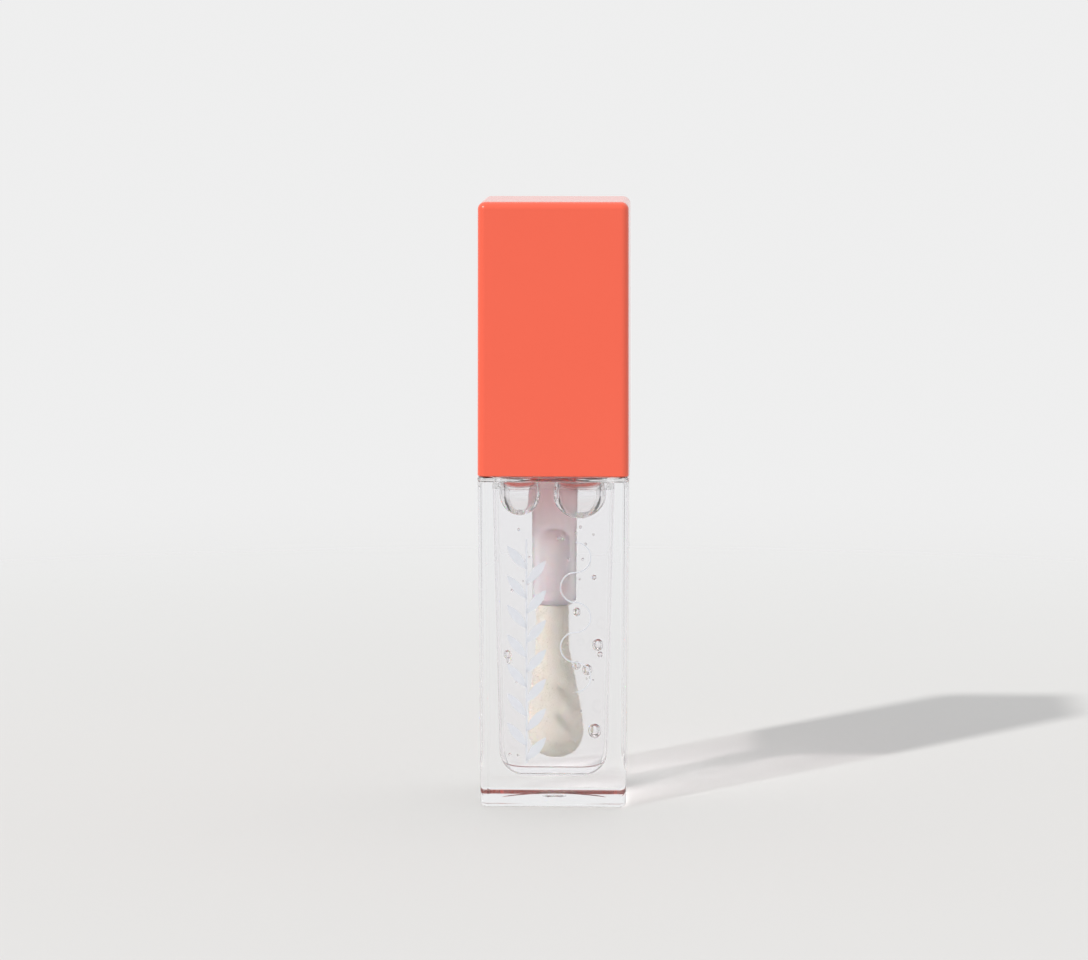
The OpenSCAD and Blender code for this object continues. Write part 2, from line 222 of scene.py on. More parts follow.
def new_group(name, inputs, outputs):
    """An empty shader group with named sockets. inputs is {name: (kind, value)}."""
    group = bpy.data.node_groups.new(name, "ShaderNodeTree")
    for label, (kind, value) in inputs.items():
        socket = group.interface.new_socket(label, in_out="INPUT", socket_type="NodeSocket" + kind)
        socket.default_value = value
    for label, kind in outputs.items():
        group.interface.new_socket(label, in_out="OUTPUT", socket_type="NodeSocket" + kind)
    return group, group.nodes.new("NodeGroupInput"), group.nodes.new("NodeGroupOutput")


def noise_node(tree, scale, detail, vector):
    noise = tree.nodes.new("ShaderNodeTexNoise")
    noise.inputs["Detail"].default_value = detail
    tree.links.new(vector, noise.inputs["Vector"])
    if hasattr(scale, "is_linked"):
        tree.links.new(scale, noise.inputs["Scale"])
    else:
        noise.inputs["Scale"].default_value = scale
    return noise.outputs["Fac"]


def maths(tree, operation, a, b, clamp=False):
    node = tree.nodes.new("ShaderNodeMath")
    node.operation = operation
    node.use_clamp = clamp
    for socket, value in zip(node.inputs, (a, b)):
        if hasattr(value, "is_linked"):
            tree.links.new(value, socket)
        else:
            socket.default_value = value
    return node.outputs["Value"]


def make_moulded_grain():
    """Fine unevenness of a moulded surface, as a normal."""
    group, given, result = new_group(
        "moulded_grain",
        {"Scale": ("Float", 900.0), "Strength": ("Float", 0.1), "Depth": ("Float", 0.00001)},
        {"Normal": "Vector"})
    coords = group.nodes.new("ShaderNodeTexCoord")
    height = noise_node(group, given.outputs["Scale"], 3.0, coords.outputs["Object"])
    bump = group.nodes.new("ShaderNodeBump")
    group.links.new(given.outputs["Strength"], bump.inputs["Strength"])
    group.links.new(given.outputs["Depth"], bump.inputs["Distance"])
    group.links.new(height, bump.inputs["Height"])
    group.links.new(bump.outputs["Normal"], result.inputs["Normal"])
    return group


def make_handling():
    """Faint smears and dust from handling, as a roughness."""
    group, given, result = new_group(
        "handling",
        {"Roughness": ("Float", 0.1), "Smear": ("Float", 0.05), "Dust": ("Float", 0.05)},
        {"Roughness": "Float"})
    coords = group.nodes.new("ShaderNodeTexCoord")
    smear = noise_node(group, 140.0, 5.0, coords.outputs["Object"])
    soft = maths(group, "SUBTRACT", smear, 0.45, clamp=True)
    speck = noise_node(group, 3800.0, 0.0, coords.outputs["Object"])
    dots = maths(group, "GREATER_THAN", speck, 0.79)
    added = maths(group, "MULTIPLY", soft, given.outputs["Smear"])
    dusty = maths(group, "MULTIPLY", dots, given.outputs["Dust"])
    total = maths(group, "ADD", maths(group, "ADD", given.outputs["Roughness"], added), dusty)
    group.links.new(total, result.inputs["Roughness"])
    return group


def make_cloudy_colour():
    """A colour that drifts softly between two tones, as pigment does in moulded plastic."""
    group, given, result = new_group(
        "cloudy_colour",
        {"Tone": ("Color", (1, 1, 1, 1)), "Other Tone": ("Color", (1, 1, 1, 1)),
         "Scale": ("Float", 60.0)},
        {"Color": "Color"})
    coords = group.nodes.new("ShaderNodeTexCoord")
    cloud = noise_node(group, given.outputs["Scale"], 2.0, coords.outputs["Object"])
    mix = group.nodes.new("ShaderNodeMix")
    mix.data_type = "RGBA"
    group.links.new(cloud, mix.inputs["Factor"])
    group.links.new(given.outputs["Tone"], mix.inputs["A"])
    group.links.new(given.outputs["Other Tone"], mix.inputs["B"])
    group.links.new(mix.outputs["Result"], result.inputs["Color"])
    return group


moulded_grain = make_moulded_grain()
handling = make_handling()
cloudy_colour = make_cloudy_colour()

# ---------------------------------------------------------------- materials


class Finish:
    """A material whose Principled shader takes colours, roughness and normals from groups."""

    def __init__(self, name):
        self.material = bpy.data.materials.new(name)
        self.material.use_nodes = True
        self.tree = self.material.node_tree
        self.shader = self.tree.nodes["Principled BSDF"]

    def plain(self, **values):
        for label, value in values.items():
            self.shader.inputs[label.replace("_", " ")].default_value = value
        return self

    def place(self, group, **values):
        node = self.tree.nodes.new("ShaderNodeGroup")
        node.node_tree = group
        for label, value in values.items():
            node.inputs[label.replace("_", " ")].default_value = value
        return node

    def grain(self, scale, strength, depth):
        node = self.place(moulded_grain, Scale=scale, Strength=strength, Depth=depth)
        self.tree.links.new(node.outputs["Normal"], self.shader.inputs["Normal"])
        return self

    def handled(self, roughness, smear, dust):
        node = self.place(handling, Roughness=roughness, Smear=smear, Dust=dust)
        self.tree.links.new(node.outputs["Roughness"], self.shader.inputs["Roughness"])
        return self

    def cloudy(self, tone, other, scale):
        node = self.place(cloudy_colour, Tone=(*tone, 1), Other_Tone=(*other, 1), Scale=scale)
        self.tree.links.new(node.outputs["Color"], self.shader.inputs["Base Color"])
        return self

    def lets_lamps_through(self, tint):
        """Lamps reach what is inside the glass: a shadow ray meets a tinted clear surface."""
        nodes, links = self.tree.nodes, self.tree.links
        path = nodes.new("ShaderNodeLightPath")
        clear = nodes.new("ShaderNodeBsdfTransparent")
        clear.inputs["Color"].default_value = (*tint, 1)
        mix = nodes.new("ShaderNodeMixShader")
        links.new(path.outputs["Is Shadow Ray"], mix.inputs["Fac"])
        links.new(self.shader.outputs["BSDF"], mix.inputs[1])
        links.new(clear.outputs["BSDF"], mix.inputs[2])
        links.new(mix.outputs["Shader"], nodes["Material Output"].inputs["Surface"])
        return self


PLASTIC_IOR = 1.57
GLOSS_IOR = 1.45
shadow_tint = (0.78, 0.755, 0.755)

clear_wall = (Finish("clear polished wall")
              .plain(Base_Color=(0.985, 0.99, 1.0, 1), IOR=PLASTIC_IOR, Transmission_Weight=1.0)
              .handled(0.0, 0.02, 0.02).grain(160.0, 0.008, 0.00002)
              .lets_lamps_through(shadow_tint)).material
clear_inside = (Finish("clear inside wall")
                .plain(Base_Color=(1, 1, 1, 1), Roughness=0.0, IOR=PLASTIC_IOR,
                       Transmission_Weight=1.0)
                .grain(200.0, 0.02, 0.00002).lets_lamps_through(shadow_tint)).material
wetted_wall = (Finish("clear wall wetted by gloss")
               .plain(Base_Color=(0.995, 0.99, 0.994, 1), Roughness=0.0,
                      IOR=PLASTIC_IOR / GLOSS_IOR, Transmission_Weight=1.0)
               .grain(200.0, 0.05, 0.00002).lets_lamps_through((0.93, 0.92, 0.93))).material
gloss_contact = (Finish("gloss against the wall")
                 .plain(Base_Color=(0.99, 0.984, 0.99, 1), Roughness=0.0, IOR=1.0,
                        Transmission_Weight=1.0)
                 .lets_lamps_through((1, 1, 1))).material
gloss_free = (Finish("gloss against air")
              .plain(Base_Color=(0.99, 0.985, 0.99, 1), Roughness=0.0, IOR=GLOSS_IOR,
                     Transmission_Weight=1.0)
              .grain(600.0, 0.05, 0.00002).lets_lamps_through((0.9, 0.88, 0.89))).material
coral_plastic = (Finish("coral cap plastic")
                 .plain(IOR=1.5, Coat_Weight=0.7, Coat_Roughness=0.05)
                 .cloudy((0.93, 0.118, 0.056), (0.95, 0.126, 0.062), 70.0)
                 .handled(0.30, 0.10, 0.08).grain(2600.0, 0.08, 0.000012)).material
# Painted light: the emission paints a coral glow on the inner cap, which brightens its underside where
# little light reaches.
coral_inner_painted_glow = (Finish("coral inner cap plastic with painted glow")
               .plain(IOR=1.49, Subsurface_Weight=0.15, Subsurface_Scale=0.001,
                      Emission_Color=(0.9, 0.10, 0.06, 1), Emission_Strength=0.32)
               .cloudy((0.78, 0.10, 0.055), (0.86, 0.13, 0.075), 300.0)
               .handled(0.42, 0.15, 0.05).grain(1800.0, 0.2, 0.00002)).material
milky_soft = (Finish("milky soft sleeve")
              .plain(IOR=1.5, Subsurface_Weight=0.4, Subsurface_Scale=0.002)
              .cloudy((0.80, 0.80, 0.78), (0.86, 0.85, 0.84), 400.0)
              .handled(0.35, 0.2, 0.02).grain(1500.0, 0.1, 0.00001)).material
seal_foam = (Finish("seal foam")
             .plain(IOR=1.45)
             .cloudy((0.76, 0.76, 0.74), (0.84, 0.84, 0.82), 2500.0)
             .handled(0.8, 0.1, 0.1).grain(5200.0, 0.9, 0.00005)).material
applicator_plastic = (Finish("applicator core plastic")
                      .plain(IOR=1.3, Subsurface_Weight=0.3, Subsurface_Scale=0.001)
                      .cloudy((0.90, 0.83, 0.83), (0.94, 0.88, 0.88), 500.0)
                      .handled(0.4, 0.1, 0.0).grain(1500.0, 0.1, 0.00001)).material
white_ink = (Finish("white ink")
             .plain(IOR=1.45, Alpha=0.8)
             .cloudy((0.77, 0.79, 0.85), (0.83, 0.85, 0.90), 1800.0)
             .handled(0.45, 0.2, 0.0).grain(3500.0, 0.2, 0.00001)).material


def make_stem_plastic():
    """Translucent polypropylene, paler towards the tip, with a painted pink glow near the cap that
    stands for the coral cap's light.
    """
    finish = Finish("translucent stem plastic with painted cap glow")
    finish.plain(IOR=1.2, Transmission_Weight=0.64, Subsurface_Weight=0.3, Subsurface_Scale=0.002)
    finish.handled(0.32, 0.1, 0.0).grain(900.0, 0.05, 0.00001)
    nodes, links = finish.tree.nodes, finish.tree.links
    coords = nodes.new("ShaderNodeTexCoord")
    split = nodes.new("ShaderNodeSeparateXYZ")
    links.new(coords.outputs["Object"], split.inputs[0])
    painted_glow_span = nodes.new("ShaderNodeMapRange")
    painted_glow_span.interpolation_type = "SMOOTHSTEP"
    for label, value in (("From Min", stem_low.z + 6 * MM), ("From Max", mouth_z + 1 * MM)):
        painted_glow_span.inputs[label].default_value = value
    links.new(split.outputs["Z"], painted_glow_span.inputs["Value"])
    # Painted light: the upper colour is a painted pink glow of coral light from the cap, and it also
    # brightens the top that the cap shades.
    ramp = nodes.new("ShaderNodeValToRGB")
    ramp.color_ramp.elements[0].color = (0.95, 0.90, 0.915, 1)
    ramp.color_ramp.elements[1].color = (1.0, 0.66, 0.66, 1)
    links.new(painted_glow_span.outputs["Result"], ramp.inputs["Fac"])
    links.new(ramp.outputs["Color"], finish.shader.inputs["Base Color"])
    return finish.material


def make_flock():
    """Short wet nylon flock: pale beige, darker between the fibres."""
    finish = Finish("wet nylon flock")
    finish.plain(IOR=1.4, Sheen_Weight=0.3, Sheen_Roughness=0.5, Subsurface_Weight=0.25,
                 Subsurface_Scale=0.001)
    finish.cloudy((0.71, 0.65, 0.575), (0.80, 0.75, 0.68), 900.0)
    finish.handled(0.75, 0.1, 0.0).grain(6500.0, 0.6, 0.00006)
    return finish.material


stem_plastic_painted_glow = make_stem_plastic()
flock_fibre = make_flock()

# ---------------------------------------------------------------- the bottle


def dish_height(radius):
    """Height of the dished underside at a radius."""
    ball = (dish_r ** 2 + dish_depth ** 2) / (2 * dish_depth)
    return math.sqrt(ball ** 2 - radius ** 2) - (ball - dish_depth)


def cavity_sections(grown, top):
    """The cavity's outlines from its mouth down to its floor. grown moves each wall outwards."""
    def wall(z):
        share = (z - floor_z - cavity_foot_r) / (mouth_z - floor_z - cavity_foot_r)
        return cavity_foot_half + (cavity_half - cavity_foot_half) * share + grown
    corner = 1.0 * MM
    sections = [(wall(z), corner, z) for z in top]
    rounded = arc(cavity_foot_half - cavity_foot_r, floor_z + cavity_foot_r,
                  cavity_foot_r + grown, 0, -90, 12)
    sections += [(half, corner * half / cavity_foot_half, z) for half, z in rounded]
    return sections


def make_bottle():
    bm = bmesh.new()
    small = 0.06 * MM
    gate_z = dish_height(gate_r) - 0.2 * MM
    gate_edge = gate_r + 0.05 * MM
    sections = [(0.7 * MM, gate_z + 0.05 * MM), (0.85 * MM, gate_z), (gate_r - 0.15 * MM, gate_z),
                (gate_r, gate_z + small), (gate_edge, dish_height(gate_edge))]
    sections += [(dish_r * share, dish_height(dish_r * share)) for share in (0.4, 0.6, 0.8, 0.94)]
    sections += [(dish_r, 0.02 * MM), (dish_r + 0.12 * MM, 0)]
    foot = arc(foot_half - foot_r, foot_r, foot_r, -90, 0, 8)
    sections += [(half, edge_r + half - foot_half, z) for half, z in foot]
    sections += [(tube_half, edge_r, mouth_z - small),
                 (tube_half - small, edge_r - small, mouth_z),
                 (cavity_half + 0.1 * MM, edge_r, mouth_z)]
    sections += cavity_sections(0, [mouth_z - 0.1 * MM, plug_z])
    skin(bm, sections, close_first=True, close_last=True)

    def pick(face):
        centre = face.calc_center_median()
        inside = max(abs(centre.x), abs(centre.y)) < cavity_half + 0.01 * MM
        if inside and centre.z > floor_z - 0.01 * MM:
            return 2 if centre.z < plug_z else 1
        return 0

    return finish_piece("clear_bottle", bm, [clear_wall, clear_inside, wetted_wall], "bottle",
                        ["bottle_body"], pick)


def make_neck():
    """Shoulder plate, plug skirt and threaded neck."""
    bm = bmesh.new()
    low = mouth_z + slip
    small = 0.06 * MM
    brow = 0.2 * MM
    lower_edge = arc(tube_half - brow, low + brow, brow, -90, 0, 4)
    upper_edge = arc(tube_half - brow, shoulder_z - brow, brow, 0, 90, 4)
    sections = [(half, edge_r + half - tube_half, z) for half, z in lower_edge + upper_edge]
    sections += [
        (neck_r + 0.4 * MM, shoulder_z), (neck_r + 0.12 * MM, shoulder_z + 0.12 * MM),
        (neck_r, shoulder_z + 0.4 * MM), (neck_r, rim_z - 0.25 * MM),
        (neck_r - 0.25 * MM, rim_z), (neck_bore_r + 0.2 * MM, rim_z),
        (neck_bore_r, rim_z - 0.2 * MM), (neck_bore_r, low + 0.2 * MM),
        (neck_bore_r + 0.2 * MM, low), (plug_hole_half, 0.7 * MM, low),
        (plug_hole_half, 0.7 * MM, plug_z + small), (plug_hole_half + small, 0.7 * MM, plug_z),
        (plug_half - small, 1.1 * MM, plug_z), (plug_half, 1.1 * MM, plug_z + small),
        (plug_half, 1.1 * MM, low)]
    skin(bm, sections, ring=True)
    thread(bm, neck_r - 0.05 * MM, neck_r + ridge, thread_z, 1.5, 0.0)

    def pick(face):
        centre = face.calc_center_median()
        reach = max(abs(centre.x), abs(centre.y))
        return 1 if centre.z < low - 0.01 * MM and reach < plug_half - 0.02 * MM else 0

    return finish_piece("clear_neck", bm, [clear_inside, wetted_wall], "bottle",
                        ["neck_insert"], pick)


# Air bubbles in the gloss: (x, height, size) in millimetres, nearest the front wall
BUBBLES = [
    (1.0, 36.0, 0.40), (0.6, 35.9, 0.30), (1.4, 35.8, 0.28), (2.0, 33.2, 0.27), (3.6, 37.4, 0.45),
    (3.0, 36.7, 0.38), (5.3, 36.4, 0.35), (4.3, 35.2, 0.35), (3.9, 33.1, 0.35), (5.4, 30.7, 0.65),
    (3.5, 30.5, 0.30), (-4.6, 37.1, 0.35), (-4.0, 30.2, 0.30), (-3.5, 29.8, 0.40),
    (-5.5, 28.9, 0.40), (-3.5, 34.0, 0.30), (-3.2, 33.4, 0.28), (-3.6, 33.0, 0.32),
    (3.1, 26.0, 1.05), (5.9, 21.6, 1.50), (6.2, 20.4, 0.80), (3.1, 18.9, 1.15), (4.5, 18.3, 1.35),
    (4.9, 17.3, 0.35), (4.4, 17.1, 0.28), (5.3, 17.0, 0.25), (-6.1, 20.3, 1.05),
    (-5.9, 19.5, 0.75), (-4.9, 16.6, 0.30), (-4.9, 13.6, 0.30), (3.7, 12.8, 0.30),
    (5.5, 10.0, 1.75), (-5.8, 6.9, 0.40), (-4.7, 6.8, 0.35)]
# Air pockets under the shoulder: (x, half width, depth, height) in millimetres
POCKETS = [(-4.45, 2.75, 4.6, 4.6), (3.46, 3.55, 5.4, 5.0)]


def add_void(bm, verts, material):
    """Turns the new faces of a hollow inwards and gives them a material number."""
    faces = list({f for v in verts for f in v.link_faces})
    for face in faces:
        face.material_index = material
    bmesh.ops.recalc_face_normals(bm, faces=faces)
    bmesh.ops.reverse_faces(bm, faces=faces)


def squared(part, power):
    """Pushes a sine or cosine outwards, so that a round outline becomes a softly square one."""
    return math.copysign(abs(part) ** power, part)


def air_pocket(bm, x, half, depth, height, front, top):
    """A bag of air: round below, pressed flat on the front wall, domed up to the shoulder."""
    lower, upper = height * 0.62, height * 0.38
    shoulder = 2.6 * MM
    rows = []
    for i in range(1, 15):
        turn = math.radians(90 * i / 14)
        sink = math.sin(turn)
        rows.append((top - upper - lower * math.cos(turn), half * sink,
                     0.9 * MM * (1 - sink), depth * (1 - 0.45 * (1 - sink))))
    for i in range(1, 13):
        turn = math.radians(90 * i / 12)
        back = 1 - math.cos(turn)
        rows.append((top - upper + upper * math.sin(turn), half * (1 - 0.2 * back),
                     shoulder * back, depth - 0.8 * MM * back))
    before = set(bm.verts)
    skin(bm, [(1.0, row[0]) for row in rows], close_first=True, close_last=True)
    made = [v for v in bm.verts if v not in before]
    for v in made:
        _, wide, near, far = min(rows, key=lambda row: abs(row[0] - v.co.z))
        across = squared(v.co.x, 0.62)
        near *= 1 - 0.8 * across ** 2
        v.co.x = x + wide * across
        v.co.y = front + (near + far) / 2 + (far - near) / 2 * squared(v.co.y, 0.5)
    return made


def make_gloss():
    """The gloss, with its air pockets and bubbles as hollows."""
    contact = 0.01 * MM
    bm = bmesh.new()
    top = mouth_z + 0.005 * MM
    hole = plug_hole_half + contact
    skin(bm, [(hole, 0.7 * MM, top), (hole, 0.7 * MM, plug_z - contact)]
         + cavity_sections(contact, [plug_z - contact]), close_first=True, close_last=True)
    dice = random.Random(11)

    def hollows(bm):
        front = -(cavity_half - 0.2 * MM)
        for x, half, depth, height in POCKETS:
            sizes = [size * MM for size in (x, half, depth, height)]
            add_void(bm, air_pocket(bm, *sizes, front, top - 0.02 * MM), 1)
        for x, z, size in BUBBLES:
            radius = size / 2 * MM
            shape = Matrix.Diagonal((1, 1, dice.uniform(0.95, 1.15), 1))
            depth = front + radius + dice.uniform(0.2, 1.2) * MM
            place = Matrix.Translation((x * MM, depth, z * MM)) @ shape
            detail = 3 if size > 0.6 else 2
            made = bmesh.ops.create_icosphere(bm, subdivisions=detail, radius=radius, matrix=place)
            add_void(bm, made["verts"], 1)

    def pick(face):
        return 1 if face.calc_center_median().z > top - 0.001 * MM else 0

    return finish_piece("gloss_fill", bm, [gloss_contact, gloss_free], "bottle",
                        ["gloss"], pick, hollows)


def make_print():
    """A white sprig and a fine tendril on the drafted front face."""
    bm = bmesh.new()
    thickness = 0.02 * MM
    foot, height, stalk_x, tendril_x = 6.0 * MM, 30.0 * MM, -3.5 * MM, 3.0 * MM
    pairs = 7
    step = height / (pairs + 0.6)

    def slab(width, length, place):
        made = bmesh.ops.create_grid(bm, x_segments=1, y_segments=12, size=0.5)["verts"]
        bmesh.ops.transform(bm, verts=made, matrix=place @ Matrix.Diagonal((width, length, 1, 1)))
        return made

    def leaf(place):
        made = bmesh.ops.create_circle(bm, cap_ends=True, segments=28, radius=1.0)["verts"]
        for v in made:
            v.co.y *= 1 - 0.55 * abs(v.co.x) ** 2
        size = Matrix.Diagonal((2.0 * MM, 0.62 * MM, 1, 1))
        bmesh.ops.transform(bm, verts=made, matrix=place @ Matrix.Translation((2.0 * MM, 0, 0)) @ size)

    slab(0.26 * MM, height, Matrix.Translation((stalk_x, foot + height / 2, 0)))
    for i in range(pairs):
        for side, rise in ((1, 0.1), (-1, 0.6)):
            root = Matrix.Translation((stalk_x, foot + step * (i + rise), 0))
            lean = math.radians(50 if side > 0 else 130)
            leaf(root @ Matrix.Rotation(lean, 4, "Z"))
    raised = bmesh.ops.extrude_face_region(bm, geom=bm.faces[:], use_keep_orig=True)
    lifted = [v for v in raised["geom"] if isinstance(v, bmesh.types.BMVert)]
    bmesh.ops.translate(bm, verts=lifted, vec=(0, 0, thickness))
    curls, curl_r, line = 5, 2.0 * MM, 0.09 * MM
    for i in range(curls):
        side = 1 if i % 2 == 0 else -1
        centre = Vector((tendril_x, foot + height - (2 * curl_r) * (i + 0.6), 0))
        ring = bmesh.ops.create_circle(bm, segments=8, radius=line,
                                       matrix=Matrix.Translation(centre + Vector((0, curl_r, 0)))
                                       @ Matrix.Rotation(math.pi / 2, 4, "Y"))["verts"]
        rim = list({e for v in ring for e in v.link_edges})
        bmesh.ops.spin(bm, geom=ring + rim, cent=centre, axis=(0, 0, 1), dvec=(0, 0, 0),
                       angle=-side * math.pi, steps=24, use_merge=False, use_duplicate=False)
    flattened = [v for v in bm.verts if abs(v.co.x - tendril_x) < 1.5 * curl_r]
    for v in flattened:
        v.co.z = thickness / 2 + v.co.z * thickness / (2.2 * line)
    bmesh.ops.remove_doubles(bm, verts=bm.verts, dist=1e-7)
    bmesh.ops.holes_fill(bm, edges=[e for e in bm.edges if e.is_boundary], sides=8)
    tilt = math.atan2(tube_half - foot_half, mouth_z)
    stand = Matrix.Translation((0, -foot_half - 0.004 * MM, 0)) @ Matrix.Rotation(
        math.pi / 2 + tilt, 4, "X")
    bmesh.ops.transform(bm, verts=bm.verts, matrix=stand)
    return finish_piece("front_sprig", bm, [white_ink], "bottle", ["front_print"])


# ---------------------------------------------------------------- the wand


def make_wiper():
    bm = bmesh.new()
    wall = 0.6 * MM
    outer, inner, lip = neck_bore_r - slip, neck_bore_r - slip - wall, stem_r + slip
    low, high, flange = wiper_low.z, wiper_high.z, wiper_high.x
    seat = rim_z + slip
    soft = 0.12 * MM
    profile = [(outer - soft, low), (outer, low + soft), (outer, seat),
               (flange - soft, seat), (flange, seat + soft),
               (flange, high - soft), (flange - soft, high), (inner + 2 * soft, high),
               (inner, high - 2 * soft), (inner, low + 2.4 * MM), (inner - 0.2 * MM, low + 1.9 * MM),
               (lip + 0.1 * MM, low + 0.5 * MM), (lip, low + 0.35 * MM), (lip, low + 0.1 * MM),
               (lip + 0.1 * MM, low), (outer - soft, low)]
    lathe(bm, profile)
    return finish_piece("milky_wiper", bm, [milky_soft], "bottle", ["wiper"])


def make_seal():
    bm = bmesh.new()
    inner, outer, low, high = stem_r + 0.05 * MM, seal_high.x, seal_low.z, seal_high.z
    soft = 0.12 * MM
    lathe(bm, [(inner, low + soft), (inner + soft, low), (outer - soft, low), (outer, low + soft),
               (outer, high - soft), (outer - soft, high), (inner + soft, high),
               (inner, high - soft), (inner, low + soft)])
    return finish_piece("foam_seal", bm, [seal_foam], "seal", ["seal_ring"])


def make_stem():
    bm = bmesh.new()
    tip, head = stem_low.z, stem_high.z
    head_r = stem_high.x
    bore = 1.5 * MM
    bore_foot = mouth_z + 2.0 * MM
    chamfer = 0.6 * MM
    soft = 0.15 * MM
    under = head - 1.2 * MM            # underside of the stem's flange
    dome = arc(0, socket_top - socket_r, socket_r, 90, 0, 8)
    profile = [(0, socket_top)] + dome[1:] + [
        (socket_r, tip + 0.1 * MM), (socket_r + 0.1 * MM, tip), (stem_tip_r - chamfer, tip),
        (stem_tip_r, tip + chamfer), (stem_r, mouth_z), (stem_r, under),
        (head_r - 0.1 * MM, under), (head_r, under + 0.1 * MM),
        (head_r, head - soft), (head_r - soft, head),
        (bore + soft, head), (bore, head - soft), (bore, bore_foot + 0.2 * MM),
        (bore - 0.2 * MM, bore_foot), (0, bore_foot)]
    lathe(bm, profile)
    return finish_piece("wand_tube", bm, [stem_plastic_painted_glow], "stem", ["wand_stem"])


def lean_at(z):
    """(sideways shift, half width, half depth) of the flocked head at a height."""
    bulb_z = flock_low.z + bulb_rise
    neck_z = flock_high.z - head_neck_drop
    share = min(1.0, max(0.0, (neck_z - z) / (neck_z - bulb_z)))
    swell = share ** 1.25 * (1.9 - 0.9 * share)
    shift = -0.3 * MM + 0.48 * MM * share
    half = head_neck_r + (bulb_half - head_neck_r) * swell
    depth = head_neck_r + (bulb_half_depth - head_neck_r) * swell
    if z < bulb_z:
        down = (bulb_z - z) / (bulb_z - flock_low.z)
        level = math.sqrt(max(0.0, 1 - down ** 2.2))
        half, depth = half * level, depth * level
    return shift, half, depth


def shaped_head(bm, inset, top):
    """The head's skin, spun as a unit tube and then shaped by lean_at."""
    low = flock_low.z + inset
    rings = 56
    heights = [low + (top - low) * (i / rings) ** 1.4 for i in range(rings + 1)]
    before = set(bm.verts)
    profile = [(0, low)] + [(1 * MM, z) for z in heights[1:]] + [(0, top)]
    lathe(bm, profile, steps=56)
    for v in bm.verts:
        if v in before:
            continue
        flat = math.hypot(v.co.x, v.co.y)
        if flat > 1e-6:
            shift, half, depth = lean_at(max(v.co.z - inset * 0.5, flock_low.z))
            v.co.x *= max(half - inset, 0.02 * MM) / MM
            v.co.y *= max(depth - inset, 0.02 * MM) / MM
        else:
            shift = lean_at(v.co.z)[0]
        v.co.x += shift
    return [v for v in bm.verts if v not in before]


def make_core():
    """Moulded core: a ribbed shank that is pressed into the stem, and the head under the flock."""
    bm = bmesh.new()
    shank, rib = 1.4 * MM, socket_r - 0.05 * MM
    low, high = flock_high.z - 0.25 * MM, core_high.z
    profile = [(0, low), (shank, low)]
    for count in (1, 2, 3):
        z = stem_low.z + count * 2.1 * MM
        profile += [(shank, z - 0.25 * MM), (rib, z + 0.2 * MM)]
        profile += [(rib, z + 0.3 * MM), (shank, z + 0.3 * MM)]
    profile += [(r, z) for r, z in arc(0, high - shank, shank, 0, 90, 6)]
    profile[-1] = (0, high)
    lathe(bm, profile, steps=40)
    bmesh.ops.remove_doubles(bm, verts=bm.verts, dist=1e-7)
    shaped_head(bm, 0.5 * MM, flock_high.z - 0.05 * MM)
    return finish_piece("applicator_core_rod", bm, [applicator_plastic], "cap",
                        ["applicator_core"])


def make_flock_coat():
    """The flocked head: a coat with thousands of short fibres standing on it.

    Faces and their corners are put in the order of their points, so that every run plants alike.
    """
    bm = bmesh.new()
    fibre = 0.22 * MM
    top = flock_high.z
    shaped_head(bm, fibre * 0.6, top)
    inner = shaped_head(bm, 0.47 * MM, top)
    apart = Vector((0, 0, 60 * MM))
    bmesh.ops.translate(bm, verts=inner, vec=apart)
    bmesh.ops.remove_doubles(bm, verts=bm.verts, dist=1e-7)
    axis_x = lean_at(top)[0]
    poles = [v for v in bm.verts if math.hypot(v.co.x - axis_x, v.co.y) < 1e-6]
    poles = [v for v in poles if min(abs(v.co.z - top), abs(v.co.z - top - apart.z)) < 1e-6]
    bmesh.ops.delete(bm, geom=poles, context="VERTS")
    bmesh.ops.bridge_loops(bm, edges=[e for e in bm.edges if e.is_boundary])
    inner = [v for v in bm.verts if v.co.z > flock_low.z + apart.z]
    bmesh.ops.translate(bm, verts=inner, vec=-apart)
    bmesh.ops.recalc_face_normals(bm, faces=bm.faces)
    dice = random.Random(5)
    coat = []
    for face in bm.faces:
        middle = face.calc_center_median()
        shift, half, depth = lean_at(middle.z)
        outside = math.hypot((middle.x - shift) / half, middle.y / depth) > 0.88
        if middle.z < top - 0.05 * MM and (outside or middle.z < flock_low.z + 0.3 * MM):
            coat.append(face)
    bm.verts.index_update()
    coat.sort(key=lambda face: sorted(v.index for v in face.verts))
    areas = [round(face.calc_area() / MM ** 2, 4) for face in coat]
    spots = []
    for face in dice.choices(coat, weights=areas, k=5200):
        a, b = dice.random(), dice.random()
        ring = list(face.verts)
        first = ring.index(min(ring, key=lambda v: v.index))
        corners = [v.co for v in ring[first:] + ring[:first]]
        along = corners[0].lerp(corners[1], a)
        across = corners[-1].lerp(corners[-2], a) if len(corners) > 3 else corners[2]
        spots.append((along.lerp(across, b), face.normal.copy()))
    tuft_mesh = bpy.data.meshes.new("tuft")
    for first in range(0, len(spots), 80):
        tuft = bmesh.new()
        for place, normal in spots[first:first + 80]:
            wild = Vector([dice.uniform(-1, 1) for _ in range(3)]) * 0.45
            turn = (normal + wild).to_track_quat("Z", "Y").to_matrix().to_4x4()
            length = fibre * dice.uniform(0.6, 1.1)
            stand = Matrix.Translation(place) @ turn @ Matrix.Translation((0, 0, length * 0.4))
            bmesh.ops.create_cone(tuft, cap_ends=True, cap_tris=True, segments=3,
                                  radius1=0.028 * MM, radius2=0.012 * MM, depth=length,
                                  matrix=stand)
        tuft.to_mesh(tuft_mesh)
        tuft.free()
        bm.from_mesh(tuft_mesh)
    bpy.data.meshes.remove(tuft_mesh)
    return finish_piece("flocked_head", bm, [flock_fibre], "cap", ["flock_coat"],
                        crease=60.0)


# ---------------------------------------------------------------- the cap


